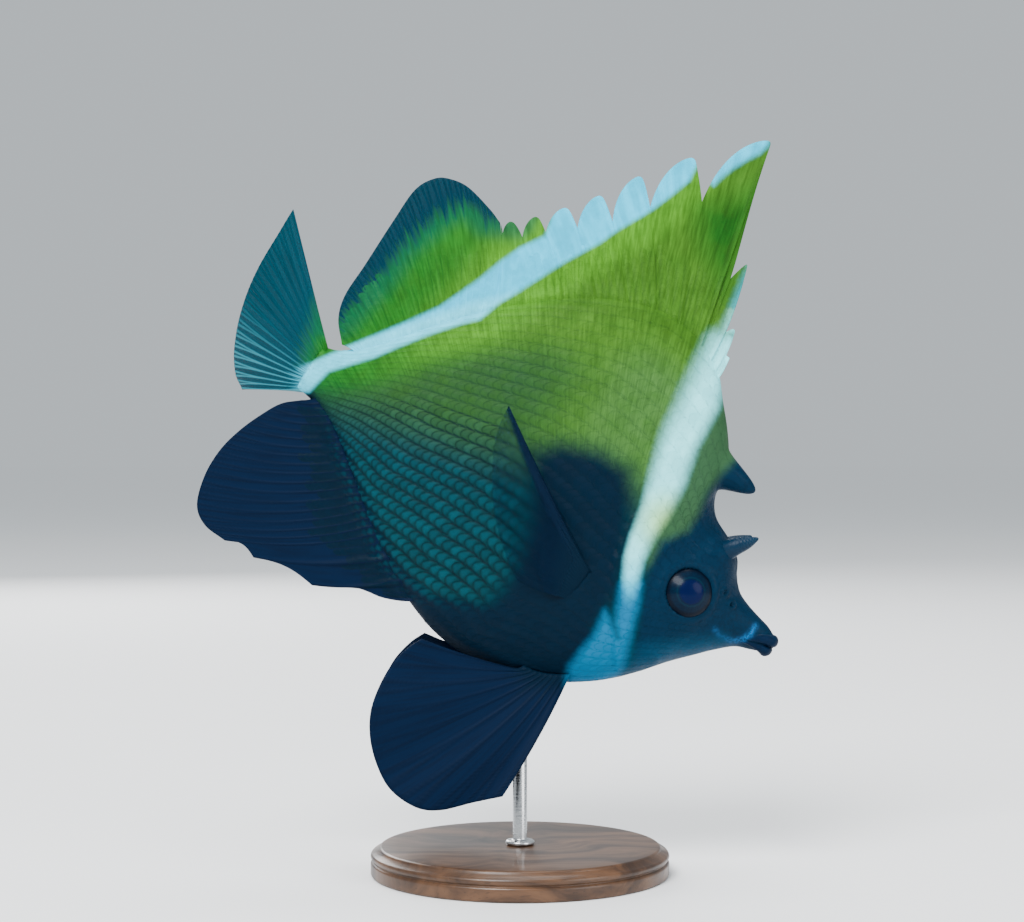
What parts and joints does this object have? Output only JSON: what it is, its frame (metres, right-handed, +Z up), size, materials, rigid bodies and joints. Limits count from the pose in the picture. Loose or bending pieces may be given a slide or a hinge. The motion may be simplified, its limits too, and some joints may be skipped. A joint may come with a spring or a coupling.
{
  "type": "horned bannerfish",
  "caption": "Life-size still model of a horned bannerfish, nose down with its fins spread, held over a round base by one steel rod.",
  "frame": {"origin": "centre of the round base's underside, under the rod", "axes": "+Z up, +X towards the fish's snout, +Y to the fish's left side, away from the side that the picture shows"},
  "size_m": [0.1642, 0.084, 0.2062],
  "materials": {
    "head_skin": "wet-looking satin, dark slate blue with an olive forehead",
    "torso_skin": "satin scales, olive above and near black below, with two white bands",
    "tail_stalk_skin": "satin scales, white band over dark olive",
    "spiny_fin": "satin olive-yellow membrane with white leaf tips",
    "soft_fin": "satin yellow-green rays with a clear blue-grey margin",
    "caudal_membrane": "thin clear blue-green membrane with pale rays",
    "anal_fin_skin": "satin blue-black",
    "pelvic_fin_skin": "satin blue-black",
    "pectoral_membrane": "thin smoky membrane with dark rays",
    "horn_bone": "satin dark olive-brown bone",
    "eye_glaze": "clear wet gloss over a dark iris",
    "stand_wood": "dark stained wood, satin",
    "stand_steel": "brushed"
  },
  "bodies": {
    "root": {"head": "head_skin", "torso": "torso_skin", "tail_stalk": "tail_stalk_skin", "dorsal_fin_spiny": "spiny_fin", "dorsal_fin_soft": "soft_fin", "caudal_fin": "caudal_membrane", "anal_fin": "anal_fin_skin", "pelvic_fin_right": "pelvic_fin_skin", "pelvic_fin_left": "pelvic_fin_skin", "pectoral_fin_right": "pectoral_membrane", "pectoral_fin_left": "pectoral_membrane", "horn_right": "horn_bone", "horn_left": "horn_bone", "eye_right": "eye_glaze", "eye_left": "eye_glaze", "stand_base": "stand_wood", "stand_rod": "stand_steel"}
  },
  "joints": []
}
